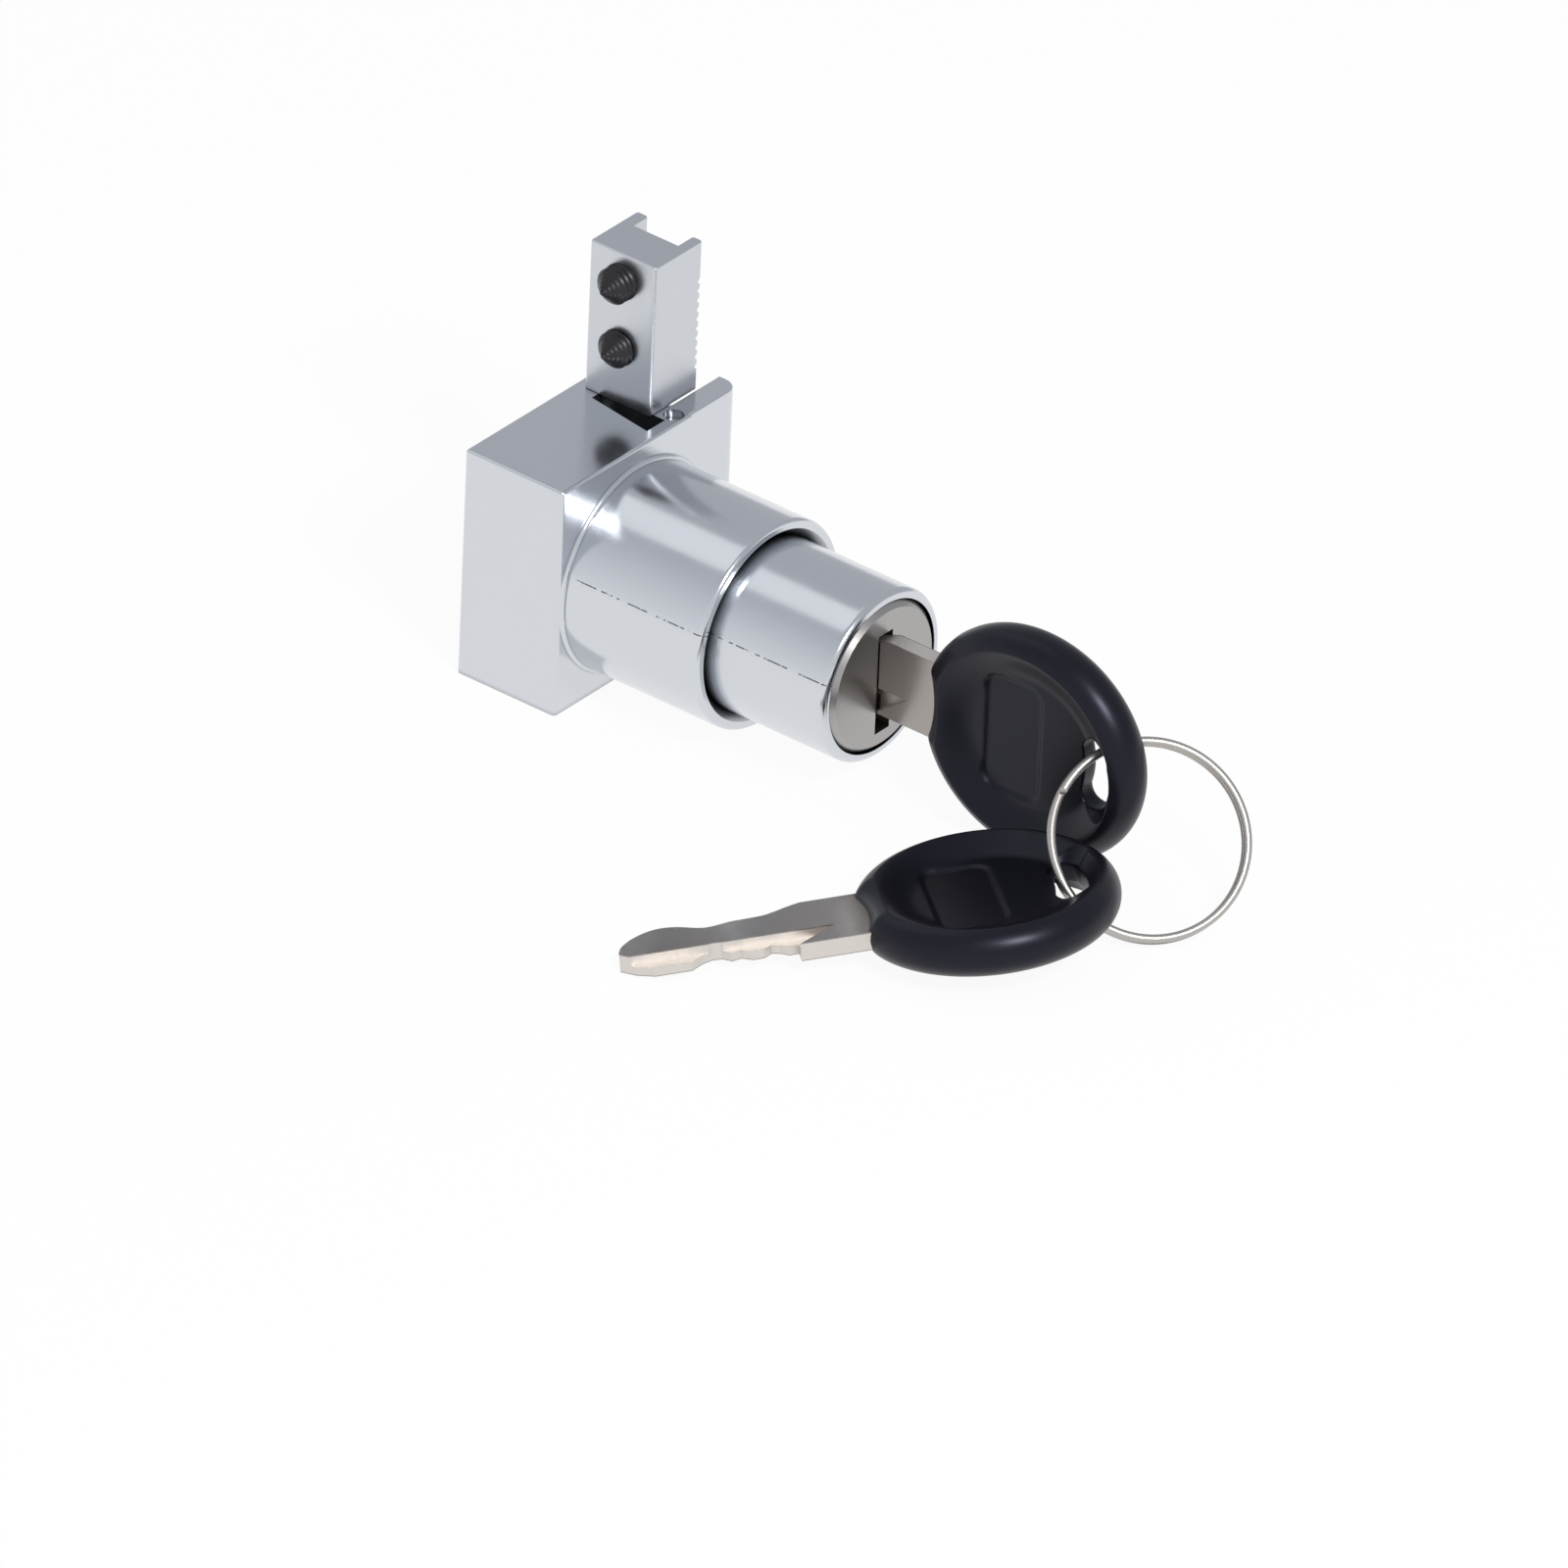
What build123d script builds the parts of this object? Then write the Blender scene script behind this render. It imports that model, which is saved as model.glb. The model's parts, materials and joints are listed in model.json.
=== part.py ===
from build123d import *
from math import cos, radians, sin, sqrt
import os

# Push lock for a glass cabinet door, with two keys on a ring.
# X runs to the right seen from the front, Y to the back and Z up, in millimetres.
# The origin is on the floor, under the middle of the block's depth and under the barrel's axis.

os.makedirs("parts", exist_ok=True)

# Sizes shared by several pieces
overrun = 1.0
running_gap = 0.05
loose_gap = 0.2

# Barrel and sleeve across, and the axis that they share
barrel_radius = 9.5
bore_radius = barrel_radius + running_gap
sleeve_wall = 2.0
sleeve_radius = barrel_radius + sleeve_wall
sleeve_clearance = 1.3
axis_height = sleeve_radius + sleeve_clearance
axle = Axis((0, 0, axis_height), (0, 1, 0))

# Block and flange
block_depth = 12.8
block_height = 26.5
block_left = -12.0
block_right = 8.8
block_front = -block_depth / 2
block_back = block_depth / 2
flange_right = 16.7
flange_thickness = 2.9
flange_setback = 0.2
flange_end_radius = 1.7
block_edge_radius = 0.4
block_rim_radius = 0.3

# Sleeve
sleeve_length = 17.7
sleeve_front = block_front - sleeve_length
sleeve_foot_radius = 0.45
sleeve_edge_radius = 0.5
sleeve_bevel = 0.95
sleeve_root = 0.5

# Key, with its own origin at the bow's middle, x from tip to bow and y up the blade
blade_thickness = 2.0
blade_length = 37.8
shoulder_x = -19.9
bit_length = blade_length + shoulder_x
shank_top = 4.5
shank_bottom = -4.4
bit_top = 3.6
bit_bottom = -2.75
tip_height = -0.6
top_rise_end = -18.3
top_edge_shares = (
    (0.04, 0.33),
    (0.12, 0.7),
    (0.26, 1),
    (0.39, 0.9),
    (0.52, 0.64),
    (0.67, 0.76),
    (0.87, 0.83),
    (0.98, 1.05),
)
bottom_edge_shares = (
    (0.08, 0.69),
    (0.18, 1),
    (0.39, 1),
    (0.46, 0.62),
    (0.52, 0.44),
    (0.575, 0.47),
    (0.625, 0.76),
    (0.68, 0.65),
    (0.74, 0.91),
    (0.805, 0.91),
    (0.855, 0.65),
    (0.9, 0.76),
    (0.945, 1),
    (1, 1),
)
milled_depth = 1.0
milled_line = -1.35
milled_end = -15.8
tang_end = -6.3
tang_thickness = 1.2
tang_height = 5.0
tang_step = -10.9

# Bow
bow_length = 27.3
bow_height = 25.4
bow_thickness = 5.6
bow_roundness = 2.6
bow_web = 2.0
dish_length = 15.6
dish_height = 17.8
dish_middle = 1.1
dish_slope = -30
panel_length = 8.4
panel_height = 16.4
panel_corner = 1.4
panel_depth = 0.25
panel_middle = -1.7
ring_slot_length = 8.2
ring_slot_width = 3.4
ring_slot_middle = 8.7
ring_slot_slope = -25
scallop_radius = 13.0
scallop_depth = 1.3

# Barrel and plug along the axis
barrel_showing = 14.7
barrel_front = sleeve_front - barrel_showing
barrel_edge_radius = 0.7
barrel_travel = 7.0
tip_gap = 0.6
keyway_wall = 2.0
plug_length = bit_length + tip_gap + keyway_wall
plug_back = barrel_front + plug_length
barrel_tail = 6.9
barrel_back = plug_back + barrel_tail
bore_floor = barrel_back + barrel_travel + loose_gap

# Plug and its clip
barrel_rim = 1.0
disc_gap = 0.2
disc_seat_radius = barrel_radius - barrel_rim
disc_radius = disc_seat_radius - disc_gap
disc_thickness = 1.9
disc_proud = 0.3
disc_bevel = 0.6
disc_front = barrel_front - disc_proud
disc_back = disc_front + disc_thickness
plug_wall = 3.3
plug_radius = barrel_radius - plug_wall
plug_bore_radius = plug_radius + running_gap
rear_wall = 1.9
rear_well_radius = barrel_radius - rear_wall
clip_thickness = 0.6
clip_gap = 0.05
clip_land = 1.1
rear_well_floor = plug_back - clip_land
clip_front = rear_well_floor + clip_gap
clip_back = clip_front + clip_thickness
clip_overhang = 1.0
clip_groove_depth = 0.8
clip_radius = plug_radius + clip_overhang
clip_groove_radius = plug_radius - clip_groove_depth
clip_inner_radius = clip_groove_radius + clip_gap
clip_mouth = 8.0

# Eccentric pin and latch
latch_throw = 1.2
crank_reach = latch_throw / sqrt(2)
crank_offset = latch_throw / 2
crank_radius = 1.0
crank_clearance = 0.1
latch_gap = 0.5
latch_thickness = 2.0
latch_width = 5.8
latch_front = plug_back + latch_gap
latch_back = latch_front + latch_thickness
latch_setback = 0.5
latch_top = barrel_radius - latch_setback
latch_bottom = -6.4
crank_back = latch_back - crank_clearance
latch_pocket_depth = 1.35
latch_pocket_height = bore_radius + latch_pocket_depth
latch_window_width = latch_width + 2 * loose_gap

# Bolt and its cross pin
bolt_head_radius = rear_well_radius - running_gap
bolt_head_thickness = 3.6
bolt_head_setback = 0.4
bolt_head_back = barrel_back - bolt_head_setback
bolt_head_front = bolt_head_back - bolt_head_thickness
bolt_radius = 4.5
bolt_hole_radius = bolt_radius + running_gap
bolt_setback = 0.6
bolt_tip = block_back - bolt_setback
bolt_chamfer = 0.8
cross_pin_radius = 1.0
cross_pin_gap = 0.2
cross_pin_length = 2 * (barrel_radius - cross_pin_gap)
cross_pin_y = (bolt_head_front + bolt_head_back) / 2

# Return spring
chamber_radius = rear_well_radius + loose_gap
back_wall = 2.2
chamber_floor = block_back - back_wall
wire_radius = 0.45
spring_room = 0.95
spring_radius = bolt_radius + wire_radius + spring_room
spring_turns = 7.5
spring_gap = 0.1
spring_front = bolt_head_back + wire_radius + spring_gap
spring_back = chamber_floor - wire_radius - spring_gap
spring_pitch = (spring_back - spring_front) / spring_turns

# Guide screw and the groove that it runs in
guide_inset = 2.3
guide_gap = 0.15
guide_y = barrel_back - guide_inset
guide_thread_radius = 1.5
guide_dog_radius = 1.0
groove_depth = 1.3
groove_floor = barrel_radius - groove_depth
guide_outer = sleeve_radius - loose_gap
guide_step = bore_radius + guide_gap
guide_inner = groove_floor + loose_gap
groove_width = 2 * (guide_dog_radius + guide_gap)
groove_back = guide_y + guide_dog_radius + loose_gap
groove_front = guide_y - barrel_travel - guide_dog_radius - loose_gap
driver_slot_width = 0.6
driver_slot_depth = 0.5

# Wafers
wafer_count = 5
wafer_thickness = 1.1
first_wafer_inset = 4.0
first_wafer_y = barrel_front + first_wafer_inset
wafer_pitch = (bit_length - first_wafer_inset + wafer_thickness) / wafer_count
wafer_gap = 0.1
wafer_slot = wafer_thickness + 2 * wafer_gap
wafer_width = 5.4
wafer_side_gap = 0.15
wafer_slot_width = wafer_width + 2 * wafer_side_gap
wafer_setback = 0.7
wafer_reach = plug_radius - wafer_setback
wafer_travel = 0.8
wafer_groove_depth = 1.2
wafer_groove_radius = plug_radius + wafer_groove_depth
wafer_groove_front = first_wafer_y - wafer_pitch / 2
wafer_groove_back = wafer_groove_front + wafer_count * wafer_pitch

# Keyway and the wafers' windows, measured up from the barrel's axis
key_lift = 0.6
keyway_gap = 0.15
keyway_width = blade_thickness + 2 * keyway_gap
keyway_top_gap = 0.2
keyway_top = key_lift + shank_top + keyway_top_gap
keyway_overshoot = 0.1
keyway_bottom = -plug_radius - keyway_overshoot
keyway_back = plug_back - keyway_wall
window_gap = 0.3
window_top = key_lift + bit_top + window_gap
window_bottom = key_lift + bit_bottom - wafer_travel - window_gap
window_width = blade_thickness + 2 * window_gap

# Where the two keys lie
inserted_bow_y = barrel_front + shoulder_x
inserted_bow_z = axis_height + key_lift
loose_bow_left = 16.3
loose_bow_ahead = 7.2
loose_bow_below = 8.59
loose_bow_middle = (-loose_bow_left, inserted_bow_y - loose_bow_ahead, inserted_bow_z - loose_bow_below)
loose_heading = -40.0
loose_pitch = 5.7
loose_roll = -5.75

# Ring
ring_left = 0.76
ring_ahead = 15.52
ring_below = 4.92
ring_middle = (-ring_left, inserted_bow_y - ring_ahead, inserted_bow_z - ring_below)
ring_normal = (-0.455, -0.607, 0.651)
ring_radius = 10.1
ring_wire_radius = 0.475
ring_wire_pitch = 0.8

# Anchor post
pocket_left = 3.2
pocket_left_slant = 1.3
pocket_right = 6.1
pocket_lip = 1.4
pocket_back_lip = 3.1
pocket_front = block_front + pocket_lip
pocket_back = block_back - pocket_back_lip
pocket_floor = 21.4
post_left = 5.55
post_width = 7.6
post_depth = 8.55
post_right = post_left + post_width
post_front_gap = 1.55
post_front = pocket_front + post_front_gap
post_back = post_front + post_depth
post_bottom = block_height + running_gap
post_top = 44.05
web_thickness = 5.2
web_right = post_left + web_thickness
front_arm = 1.3
back_arm = 1.45
post_edge_radius = 0.35
post_rim_radius = 0.2
screw_shift = 0.2
post_middle_y = (post_front + front_arm + post_back - back_arm) / 2
screw_y = post_middle_y + screw_shift
tooth_count = 10
tooth_pitch = 1.12
tooth_depth = 0.6
tooth_start = 28.7
leg_bottom = 16.6
leg_depth = 5.6
notch_wall = 0.3
notch_radius = 1.1
notch_depth = 1.0
notch_x = pocket_right + notch_wall + notch_radius
notch_y = block_front + block_rim_radius + notch_radius

# Screws through the post
grub_radius = 2.05
grub_thread_pitch = 0.7
grub_thread_depth = 0.3
grub_length = 8.0
grub_cone_radius = 1.65
grub_tip_radius = 0.1
grub_drops = (3.3, 11.1)
grub_z = [post_top - drop for drop in grub_drops]
grub_tip_x = (2.3, 2.85)
grub_socket_flats = 2.0
grub_socket_depth = 2.4
fixing_z = 19.6
fixing_radius = 1.5
fixing_tip = 5.9
fixing_head_radius = 2.6
fixing_head_height = 1.6

# Slots for a cross driver
cross_slot_length = 3.0


def facing(y):
    """Plane that faces the front at depth y, with its origin on the barrel's axis."""
    return Plane(origin=(0, y, axis_height), x_dir=(1, 0, 0), z_dir=(0, -1, 0))


def rightward(x, y, z):
    """Plane that faces right, with its origin at x, y, z."""
    return Plane(origin=(x, y, z), x_dir=(0, 1, 0), z_dir=(1, 0, 0))


def round_bar(front, back, radius, mode=Mode.ADD):
    """Round bar on the barrel's axis, from front to back."""
    with BuildSketch(facing(back)) as section:
        Circle(radius)
    extrude(section.sketch, amount=back - front, mode=mode)


def flat_bar(front, back, width, low, high, mode=Mode.ADD):
    """Bar of rectangular section, with low and high measured up from the barrel's axis."""
    with BuildSketch(facing(back)) as section:
        with Locations((0, (low + high) / 2)):
            Rectangle(width, high - low)
    extrude(section.sketch, amount=back - front, mode=mode)


def circle_at(part, y):
    """The part's round edges at depth y."""
    return part.edges().filter_by(GeomType.CIRCLE).filter_by_position(Axis.Y, y, y)


def key_plane(middle, along, up):
    """Plane of a key: x along the blade to the bow, y up the blade."""
    return Plane(origin=middle, x_dir=along, z_dir=Vector(along).cross(Vector(up)))


def loose_directions():
    """The loose key's directions along and up its blade, from heading, pitch and roll."""
    heading = radians(loose_heading)
    pitch = radians(loose_pitch)
    roll = radians(loose_roll)
    along = Vector(cos(heading) * cos(pitch), sin(heading) * cos(pitch), sin(pitch))
    level = Vector(-sin(heading), cos(heading), 0)
    up = level * cos(roll) + along.cross(level) * sin(roll)
    return along, up


# Housing: block, flange and sleeve in one casting
with BuildPart() as housing:
    with BuildSketch(Plane.XY):
        with BuildLine():
            Polyline(
                (block_left, block_front),
                (block_right, block_front),
                (block_right, block_front + flange_setback),
                (flange_right, block_front + flange_setback),
                (flange_right, block_front + flange_thickness),
                (block_right, block_front + flange_thickness),
                (block_right, block_back),
                (block_left, block_back),
                close=True,
            )
        make_face()
    extrude(amount=block_height)
    uprights = housing.edges().filter_by(Axis.Z)
    flange_end = uprights.sort_by(Axis.X)[-2:].sort_by(Axis.Y)
    fillet(flange_end[0], flange_end_radius)
    left_corners = housing.edges().filter_by(Axis.Z).sort_by(Axis.X)[:2]
    fillet(left_corners, block_edge_radius)
    fillet(housing.faces().sort_by(Axis.Z)[-1].edges(), block_rim_radius)
    with BuildSketch(Plane.XY.offset(axis_height)):
        with BuildLine():
            foot = sleeve_radius + sleeve_foot_radius
            Polyline((0, sleeve_front), (0, block_front + sleeve_root))
            Polyline((0, block_front + sleeve_root), (foot, block_front + sleeve_root), (foot, block_front))
            RadiusArc(
                (foot, block_front), (sleeve_radius, block_front - sleeve_foot_radius), sleeve_foot_radius
            )
            Line(
                (sleeve_radius, block_front - sleeve_foot_radius),
                (sleeve_radius, sleeve_front + sleeve_edge_radius),
            )
            RadiusArc(
                (sleeve_radius, sleeve_front + sleeve_edge_radius),
                (sleeve_radius - sleeve_edge_radius, sleeve_front),
                sleeve_edge_radius,
            )
            Line((sleeve_radius - sleeve_edge_radius, sleeve_front), (0, sleeve_front))
        make_face()
    revolve(axis=axle)
    round_bar(sleeve_front - overrun, bore_floor, bore_radius, Mode.SUBTRACT)
    chamfer(circle_at(housing, sleeve_front).sort_by(SortBy.RADIUS)[0], sleeve_bevel)
    round_bar(bore_floor, chamber_floor, chamber_radius, Mode.SUBTRACT)
    round_bar(chamber_floor, block_back + overrun, bolt_hole_radius, Mode.SUBTRACT)
    for shift in (0, barrel_travel):
        flat_bar(
            latch_front + shift - loose_gap,
            latch_back + shift + loose_gap,
            latch_window_width,
            0,
            latch_pocket_height,
            Mode.SUBTRACT,
        )
    with BuildSketch(Plane.XY.offset(pocket_floor)):
        with BuildLine():
            Polyline(
                (pocket_left, pocket_front),
                (pocket_right, pocket_front),
                (pocket_right, pocket_back),
                (pocket_left + pocket_left_slant, pocket_back),
                close=True,
            )
        make_face()
    extrude(amount=block_height - pocket_floor + overrun, mode=Mode.SUBTRACT)
    with BuildSketch(Plane.XY.offset(block_height - notch_depth)):
        with Locations((notch_x, notch_y)):
            Circle(notch_radius)
    extrude(amount=notch_depth + overrun, mode=Mode.SUBTRACT)
    with BuildSketch(Plane.XY):
        with Locations((0, guide_y)):
            Circle(guide_thread_radius)
    extrude(amount=axis_height - bore_radius + overrun, mode=Mode.SUBTRACT)
    with BuildSketch(rightward(fixing_tip - loose_gap, post_middle_y, fixing_z)):
        Circle(fixing_radius)
    extrude(amount=block_right - fixing_tip + overrun, mode=Mode.SUBTRACT)

# Anchor post: a U section open to the right, with a leg beside the block
with BuildPart() as anchor_post:
    with BuildSketch(Plane.XY.offset(post_bottom)):
        with BuildLine():
            Polyline(
                (post_left, post_front),
                (post_right, post_front),
                (post_right, post_front + front_arm),
                (web_right, post_front + front_arm),
                (web_right, post_back - back_arm),
                (post_right, post_back - back_arm),
                (post_right, post_back),
                (post_left, post_back),
                close=True,
            )
        make_face()
    extrude(amount=post_top - post_bottom)
    post_uprights = anchor_post.edges().filter_by(Axis.Z)
    fillet(post_uprights.sort_by(Axis.X)[:2] + post_uprights.sort_by(Axis.X)[-4:], post_edge_radius)
    fillet(anchor_post.faces().sort_by(Axis.Z)[-1].edges(), post_rim_radius)
    with BuildSketch(facing(post_back + overrun)):
        for tooth in range(tooth_count):
            tooth_low = tooth_start + tooth * tooth_pitch - axis_height
            tooth_middle = tooth_low + tooth_pitch / 2
            tooth_high = tooth_low + tooth_pitch
            with BuildLine():
                Polyline(
                    (post_right, tooth_low),
                    (post_right - tooth_depth, tooth_middle),
                    (post_right, tooth_high),
                    (post_right + overrun, tooth_middle),
                    close=True,
                )
            make_face()
    extrude(amount=post_back - post_front + 2 * overrun, mode=Mode.SUBTRACT)
    with BuildSketch(Plane.XY.offset(leg_bottom)):
        with Locations(((block_right + web_right) / 2, post_middle_y)):
            Rectangle(web_right - block_right, leg_depth)
    extrude(amount=post_bottom - leg_bottom + overrun)
    for grub_height in grub_z:
        with BuildSketch(rightward(post_left - overrun, screw_y, grub_height)):
            Circle(grub_radius)
        extrude(amount=web_thickness + 2 * overrun, mode=Mode.SUBTRACT)
    with BuildSketch(rightward(block_right, post_middle_y, fixing_z)):
        Circle(fixing_radius + running_gap)
    extrude(amount=web_right - block_right + overrun, mode=Mode.SUBTRACT)


def grub_screw(tip_x, height):
    """Cone-point grub screw that points left, with ridges for its thread and a hexagon socket."""
    end_x = tip_x + grub_length
    crest = grub_radius - running_gap
    root = crest - grub_thread_depth
    thread_x = tip_x + grub_cone_radius - grub_tip_radius
    ridges = int((end_x - thread_x) / grub_thread_pitch)
    outline = [(tip_x, 0), (tip_x, grub_tip_radius), (thread_x, grub_cone_radius)]
    for ridge in range(ridges):
        ridge_x = thread_x + ridge * grub_thread_pitch
        outline.append((ridge_x, root))
        outline.append((ridge_x + grub_thread_pitch / 2, crest))
    outline.append((end_x, root))
    outline.append((end_x, 0))
    with BuildPart() as screw:
        with BuildSketch(Plane(origin=(0, screw_y, height), x_dir=(1, 0, 0), z_dir=(0, -1, 0))):
            with BuildLine():
                Polyline(*outline, close=True)
            make_face()
        revolve(axis=Axis((0, screw_y, height), (1, 0, 0)))
        with BuildSketch(rightward(end_x, screw_y, height)):
            RegularPolygon(grub_socket_flats / 2, 6, major_radius=False)
        extrude(amount=-grub_socket_depth, mode=Mode.SUBTRACT)
    return screw


upper_grub_screw = grub_screw(grub_tip_x[0], grub_z[0])
lower_grub_screw = grub_screw(grub_tip_x[1], grub_z[1])

# Screw that holds the post's leg to the block
with BuildPart() as post_fixing_screw:
    with BuildSketch(rightward(fixing_tip, post_middle_y, fixing_z)):
        Circle(fixing_radius)
    extrude(amount=web_right - fixing_tip)
    with BuildSketch(rightward(web_right, post_middle_y, fixing_z)):
        Circle(fixing_head_radius)
    extrude(amount=fixing_head_height)
    head_face = rightward(web_right + fixing_head_height, post_middle_y, fixing_z)
    with BuildSketch(head_face):
        Rectangle(driver_slot_width, cross_slot_length)
        Rectangle(cross_slot_length, driver_slot_width)
    extrude(amount=-driver_slot_depth, mode=Mode.SUBTRACT)

# Guide screw in the sleeve's underside
with BuildPart() as guide_screw:
    with BuildSketch(Plane.XY.offset(axis_height - guide_outer)):
        with Locations((0, guide_y)):
            Circle(guide_thread_radius)
    extrude(amount=guide_outer - guide_step)
    with BuildSketch(Plane.XY.offset(axis_height - guide_step)):
        with Locations((0, guide_y)):
            Circle(guide_dog_radius)
    extrude(amount=guide_step - guide_inner)
    with BuildSketch(Plane.XY.offset(axis_height - guide_outer)):
        with Locations((0, guide_y)):
            Rectangle(2 * guide_thread_radius, driver_slot_width)
    extrude(amount=driver_slot_depth, mode=Mode.SUBTRACT)

# Barrel that is pushed in
with BuildPart() as plunger_barrel:
    round_bar(barrel_front, barrel_back, barrel_radius)
    fillet(circle_at(plunger_barrel, barrel_front), barrel_edge_radius)
    round_bar(barrel_front - overrun, disc_back, disc_seat_radius, Mode.SUBTRACT)
    round_bar(disc_back, rear_well_floor, plug_bore_radius, Mode.SUBTRACT)
    round_bar(rear_well_floor, barrel_back + overrun, rear_well_radius, Mode.SUBTRACT)
    with BuildSketch(facing(wafer_groove_back)):
        with Locations((0, wafer_groove_radius / 2)):
            Rectangle(wafer_slot_width + loose_gap, wafer_groove_radius)
        with Locations((wafer_groove_radius / 2, 0)):
            Rectangle(wafer_groove_radius, wafer_slot_width + loose_gap)
    extrude(amount=wafer_groove_back - wafer_groove_front, mode=Mode.SUBTRACT)
    flat_bar(
        latch_front - loose_gap,
        latch_back + loose_gap,
        latch_window_width,
        0,
        barrel_radius + overrun,
        Mode.SUBTRACT,
    )
    flat_bar(
        groove_front,
        groove_back,
        groove_width,
        -barrel_radius - overrun,
        -groove_floor,
        Mode.SUBTRACT,
    )
    with BuildSketch(rightward(-cross_pin_length / 2, cross_pin_y, axis_height)):
        Circle(cross_pin_radius)
    extrude(amount=cross_pin_length, mode=Mode.SUBTRACT)

# Bolt that leaves the block's back
with BuildPart() as locking_bolt:
    round_bar(bolt_head_front, bolt_head_back, bolt_head_radius)
    round_bar(bolt_head_back, bolt_tip, bolt_radius)
    chamfer(circle_at(locking_bolt, bolt_tip), bolt_chamfer)
    with BuildSketch(rightward(-cross_pin_length / 2, cross_pin_y, axis_height)):
        Circle(cross_pin_radius)
    extrude(amount=cross_pin_length, mode=Mode.SUBTRACT)

# Pin across the barrel's rear and the bolt's head
with BuildPart() as bolt_cross_pin:
    with BuildSketch(rightward(-cross_pin_length / 2, cross_pin_y, axis_height)):
        Circle(cross_pin_radius)
    extrude(amount=cross_pin_length)

# Return spring, one wire from end to end
with BuildPart() as return_spring:
    with BuildLine() as spring_line:
        Helix(
            pitch=spring_pitch,
            height=spring_back - spring_front,
            radius=spring_radius,
            center=(0, spring_front, axis_height),
            direction=(0, 1, 0),
        )
    with BuildSketch(Plane(origin=spring_line.line @ 0, z_dir=spring_line.line % 0)):
        Circle(wire_radius)
    sweep(path=spring_line.line)
print("return spring's least gap between turns, mm:", round(spring_pitch - 2 * wire_radius, 2))

# Key plug with its disc, wafer slots and eccentric pin
with BuildPart() as key_plug:
    round_bar(disc_front, disc_back, disc_radius)
    chamfer(circle_at(key_plug, disc_front), disc_bevel)
    round_bar(disc_back, plug_back, plug_radius)
    round_bar(clip_front, clip_back, plug_radius + overrun, Mode.SUBTRACT)
    round_bar(clip_front, clip_back, clip_groove_radius)
    with BuildSketch(facing(crank_back)):
        with Locations((-crank_offset, -crank_offset)):
            Circle(crank_radius)
    extrude(amount=crank_back - plug_back)
    flat_bar(
        disc_front - overrun, keyway_back, keyway_width, keyway_bottom, keyway_top, Mode.SUBTRACT
    )
    for slot in range(wafer_count):
        slot_y = first_wafer_y + slot * wafer_pitch
        flat_bar(
            slot_y - wafer_slot / 2,
            slot_y + wafer_slot / 2,
            wafer_slot_width,
            -plug_radius,
            plug_radius,
            Mode.SUBTRACT,
        )

# Clip behind the barrel's web
with BuildPart() as plug_retainer:
    with BuildSketch(facing(clip_back)):
        Circle(clip_radius)
        Circle(clip_inner_radius, mode=Mode.SUBTRACT)
        with Locations((clip_radius, 0)):
            Rectangle(clip_radius, clip_mouth, mode=Mode.SUBTRACT)
    extrude(amount=clip_thickness)

# Latch moved by the eccentric pin
with BuildPart() as latch:
    flat_bar(latch_front, latch_back, latch_width, latch_bottom, latch_top)
    flat_bar(
        latch_front,
        latch_back,
        2 * (crank_reach + crank_radius + crank_clearance),
        -crank_offset - crank_radius - crank_clearance,
        -crank_offset + crank_radius + crank_clearance,
        Mode.SUBTRACT,
    )


def wafer(number):
    """Flat wafer with a window for the blade, counted from the front."""
    middle = first_wafer_y + number * wafer_pitch
    front = middle - wafer_thickness / 2
    back = middle + wafer_thickness / 2
    with BuildPart() as plate:
        flat_bar(front, back, wafer_width, -wafer_reach, wafer_reach)
        flat_bar(front, back, window_width, window_bottom, window_top, Mode.SUBTRACT)
    return plate


wafers = [wafer(number) for number in range(wafer_count)]


def key_blade(plane):
    """Blade with its bitting, milled strip and the tang inside the bow."""
    tip_x = -blade_length
    with BuildPart() as blade:
        with BuildSketch(plane.offset(-blade_thickness / 2)):
            with BuildLine():
                top = Spline(
                    (tip_x, tip_height),
                    *[(tip_x + bit_length * x, bit_top * y) for x, y in top_edge_shares],
                    (top_rise_end, shank_top),
                )
                bottom = Polyline(
                    (tip_x, tip_height),
                    *[(tip_x + bit_length * x, bit_bottom * y) for x, y in bottom_edge_shares],
                    (shoulder_x, shank_bottom),
                    (tang_step, shank_bottom),
                )
                Line(top @ 1, (tang_step, shank_top))
                Line((tang_step, shank_top), bottom @ 1)
            make_face()
        extrude(amount=blade_thickness)
        with BuildSketch(plane.offset(blade_thickness / 2 - milled_depth)):
            with BuildLine():
                Polyline(
                    (tip_x - overrun, milled_line),
                    (milled_end, milled_line),
                    (shoulder_x, shank_bottom),
                    (shoulder_x, shank_bottom - overrun),
                    (tip_x - overrun, shank_bottom - overrun),
                    close=True,
                )
            make_face()
        extrude(amount=milled_depth + overrun, mode=Mode.SUBTRACT)
        with BuildSketch(plane.offset(-tang_thickness / 2)):
            with Locations(((tang_step + tang_end) / 2, 0)):
                Rectangle(tang_end - tang_step, tang_height)
        extrude(amount=tang_thickness)
    return blade


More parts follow.
